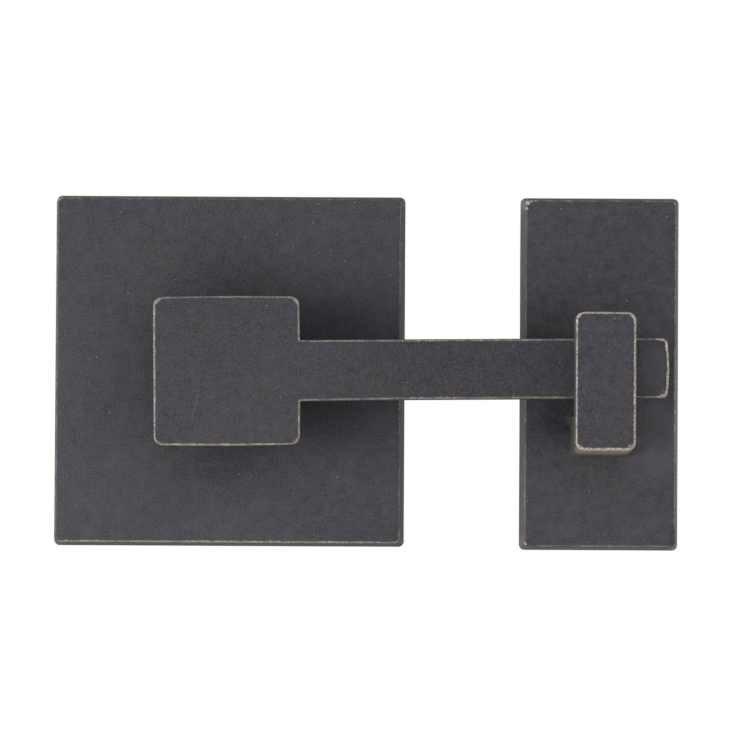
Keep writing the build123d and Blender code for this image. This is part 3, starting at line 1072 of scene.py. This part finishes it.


# Rows of a piece's paint. scratches: centre and radius of the arc, its middle, half its length, strength.
# spots: centre, reach. The rows of painted light and shade: centre, reach, how much paler, or darker where
# negative. The rows of walls
# painted paler as if lit: centre, where it is full and where it ends, which way the skin faces, share.

basePlate["paint"] = {
    "shift": (0, 0, 0), "mottle": 0.6, "brush": 0.15, "brushStretch": (1, 1, 14),
    "scratches": [],
    "spots": [((-21.65, -4.8, 21.5), 0.27), ((-21.2, -4.85, 21.75), 0.18)],
    # painted light: the walls are painted paler as if lit, the top the most
    "paintedWallLight": [wall(0, 22, (0, 1), 0.55), wall(0, -22, (0, -1), 0.2), wall(-22, 0, (-1, 0), 0.3)],
    # painted light low down and on the left, painted shade round the hub where the lever shades the plate
    "paintedShadeAndLight": [((-22, -5, -22), 24, 0.12), ((1, -5, -22), 12, 0.16), ((-24, -5, 2), 12, 0.1),
               ((0, -5, 11), 8, -0.14), ((0, -5, -11), 7, -0.16), ((12, -5, 6), 6, -0.16),
               ((12, -5, -6), 6, -0.2)],
}
lever["paint"] = {
    "shift": (40, 5, 3), "mottle": 0.5, "brush": 0.05, "brushStretch": (14, 1, 1),
    "scratches": [((-18.3, -13.5, -0.4), 15.0, (-3.8, -13.5, -4.4), 2.3, 0.18)],
    "spots": [((54.7, -13.4, -2.9), 0.8), ((54.2, -13.45, -3.1), 0.55), ((54.9, -13.4, 4.25), 0.55),
              ((-9.1, -13.4, 9.0), 0.5), ((-9.1, -13.4, -9.1), 0.4), ((8.75, -13.4, -8.85), 0.42),
              ((8.8, -13.4, 8.9), 0.36), ((35.6, -13.55, 3.1), 0.12)],
    "paintedWallLight": [],
    # painted shade along the arm where the keeper's cap shades it and on the hub's upper half, painted light
    # at the tip and low on the hub
    "paintedShadeAndLight": [((30, -13.5, 0.3), 25, -0.16), ((0, -13.5, 8), 13, -0.08), ((53.5, -13.5, 0.5), 5, 0.42),
               ((39, -13.5, 0.4), 5, -0.07), ((0, -13.5, -9), 7, 0.06)],
}
strike["paint"] = {
    "shift": (-20, 9, 60), "mottle": 0.8, "brush": 0.3, "brushStretch": (18, 1, 1),
    "stain": ((46.9, -6.0, -12.0), 8.0),
    "scratches": [((48.2, -18.6, -0.3), 5.5, (44.75, -18.6, -4.6), 1.3, 0.08)],
    "spots": [((43.5, -18.5, -9.2), 0.42), ((43.9, -18.5, -9.5), 0.38), ((50.35, -18.5, -9.1), 0.5),
              ((49.9, -18.5, -9.45), 0.5), ((43.55, -18.5, 6.95), 0.4), ((50.25, -18.5, 6.95), 0.4),
              ((37.6, -4.9, 21.4), 0.34), ((38.1, -4.9, 21.65), 0.26), ((38.6, -4.9, 21.68), 0.2),
              ((37.5, -4.9, 20.7), 0.24), ((37.5, -4.9, -21.6), 0.25), ((56.25, -4.9, 21.4), 0.25)],
    # painted light: the foot's underside is painted pale as if lit from below, and the walls are painted
    # paler as if lit, the right one the most
    "paintedWallLight": [((46.9, -18.2, -10.0), 3.5, 10, "under", 1.0), wall(57, 0, (1, 0), 1.0),
               wall(46.9, 22, (0, 1), 0.55), wall(46.9, -22, (0, -1), 0.3), wall(37, 0, (-1, 0), 0.15)],
    # painted light right of the foot, low down and at the upper right, painted shade left of the keeper, on
    # the foot's left side and at the upper left
    "paintedShadeAndLight": [((54, -5, -8), 7, 0.6), ((42, -5, -6), 4.4, -0.36), ((40, -5, 6), 7, -0.12),
               ((47, -5, -21), 14, 0.14), ((56, -5, 6), 6, 0.12), ((42.5, -10, -8), 5, -0.25)],
}
for piece, slot, look in ((basePiece, "plate_bronze", basePlate), (leverPiece, "lever_bronze", lever),
                          (strikePiece, "strike_bronze", strike)):
    piece.data.materials.append(castBronze(slot, look["paint"]))
print("bronze finished")


# Hidden pieces: turned bronze, pressed brass, tempered and plated steel

turned = {  # rings that the lathe leaves, on the ends and round the sides
    "tarnish": (1.4, 0.42, 0.7, 0.6),  # size in mm, range, share
    "tone": (0.85, 0.3),
    "uneven": (0.2, 0.15),  # what the pattern and the clouds do to the roughness
    "relief": (0.006, 0),  # mm, and the clouds' share of it
}
rolled = {  # fine lines one way
    "tarnish": (1.2, 0.4, 0.68, 0.7),
    "tone": (0.88, 0.24),
    "uneven": (0.16, 0.2),
    "relief": (0.004, 1),
    "stretch": (12, 1, 1),
}
hidden = {  # the metal's name, how it is made, colours, roughness, size of the pattern in mm
    "pivot_bush": ("bearing_bronze", turned, shade(176, 134, 82), shade(122, 88, 52), 0.3, 0.1),
    "pivot_screw": ("screw_steel", turned, shade(186, 186, 190), shade(120, 118, 116), 0.26, 0.08),
    "keyed_washer": ("keyed_washer_metal", rolled, shade(196, 164, 100), shade(140, 108, 62), 0.34, 0.09),
    "disc_spring": ("disc_spring_metal", rolled, shade(84, 84, 92), shade(58, 50, 56), 0.36, 0.075),
    "lock_washer": ("lock_washer_metal", rolled, shade(128, 128, 132), shade(84, 78, 74), 0.38, 0.066),
}


def plainMetal(name, way, bright, dull, roughness, size):
    paint = Finish(name)
    if way is turned:
        rings = paint.add("ShaderNodeCombineXYZ", None, {0: paint.radius(), 1: paint.axis("Y")})
        pattern = paint.clouds(size, detail=2, place=rings)
    else:
        pattern = paint.clouds(size, detail=2, stretch=way["stretch"])
    cloudSize, low, high, share = way["tarnish"]
    cloud = paint.clouds(cloudSize, detail=3)
    least, more = way["tone"]
    colour = paint.blend(paint.between(cloud, low, high) * share, bright, dull)
    colour = paint.tint(colour, least + pattern * more)
    byPattern, byCloud = way["uneven"]
    rough = roughness + (pattern - 0.5) * byPattern + (cloud - 0.5) * byCloud
    depth, clouded = way["relief"]
    return paint.metal(colour, rough, 1.0, pattern + cloud * clouded, depth)


for node, values in hidden.items():
    piece = screwPiece if node == "pivot_screw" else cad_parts[node]
    piece.data.materials.clear()
    piece.data.materials.append(plainMetal(*values))
print("hidden pieces finished")


# Studio: a pale floor and soft lamps all round, the strongest on the left

studio = {
    "worldLevel": 0.12,
    "floorHeight": -60.0,  # mm
    "floorSide": 4000.0,
    "floorLevel": shade(242, 242, 242),
    "floorGlow": 0.7,  # share of the floor that is plain white, so that it reads pale
    "shadowRoom": (60.0, 105.0),  # the floor is plain white past this
    "middle": (17.5, 0.0, 0.0),
    "lamps": {  # place from the middle and width in mm, power in watts
        "left": ((-500, -240, -40), 400, 3.0),
        "right": ((560, -640, 0), 600, 1.7),
        "below": ((0, -420, -420), 420, 1.2),
        "above": ((0, -600, 600), 600, 1.4),
        "behindLeft": ((-500, 700, 350), 600, 2.6),
        "behindRight": ((500, 700, -150), 600, 2.6),
    },
}
white = (1, 1, 1, 1)


def makeWorld():
    world = bpy.data.worlds.new("studio")
    bpy.context.scene.world = world
    tree = Tree(world)
    level = studio["worldLevel"] + tree.seenDirectly() * (1 - studio["worldLevel"])
    light = tree.add("ShaderNodeBackground", None, {"Color": white, "Strength": level})
    tree.add("ShaderNodeOutputWorld", None, {"Surface": light})


def makeFloor():
    bm = bmesh.new()
    across, away, _ = studio["middle"]
    centre = (across, away, studio["floorHeight"])
    where = Matrix.Translation(Vector(centre) * mm)
    bmesh.ops.create_grid(bm, x_segments=1, y_segments=1, size=studio["floorSide"] * mm / 2, matrix=where)
    floor = meshOf(bm, "floor")
    floor.visible_shadow = False  # the lamp below stands lower than the floor
    paint = Finish("pale floor")
    plain = paint.add("ShaderNodeBsdfDiffuse", None, {"Color": studio["floorLevel"]})
    light = paint.add("ShaderNodeEmission", None, {"Color": white, "Strength": 1.0})
    clear = paint.between(paint.farFrom(centre), *studio["shadowRoom"])
    share = studio["floorGlow"] + clear * (1 - studio["floorGlow"])
    mixed = paint.add("ShaderNodeMixShader", None, {0: share * paint.seenDirectly(), 1: plain, 2: light})
    paint.add("ShaderNodeOutputMaterial", None, {"Surface": mixed})
    floor.data.materials.append(paint.material)


def makeLamp(name, place, width, power):
    data = bpy.data.lights.new(name, "AREA")
    data.shape = "DISK"
    data.size = width * mm
    data.energy = power
    lamp = placed(name, data)
    place = Vector(place) * mm
    lamp.location = Vector(studio["middle"]) * mm + place
    lamp.rotation_mode = "QUATERNION"
    lamp.rotation_quaternion = place.to_track_quat("Z", "Y")
    lamp.visible_camera = False


makeWorld()
makeFloor()
for name, lamp in studio["lamps"].items():
    makeLamp(name, *lamp)
bpy.context.scene.view_settings.view_transform = "Standard"
print("studio made")
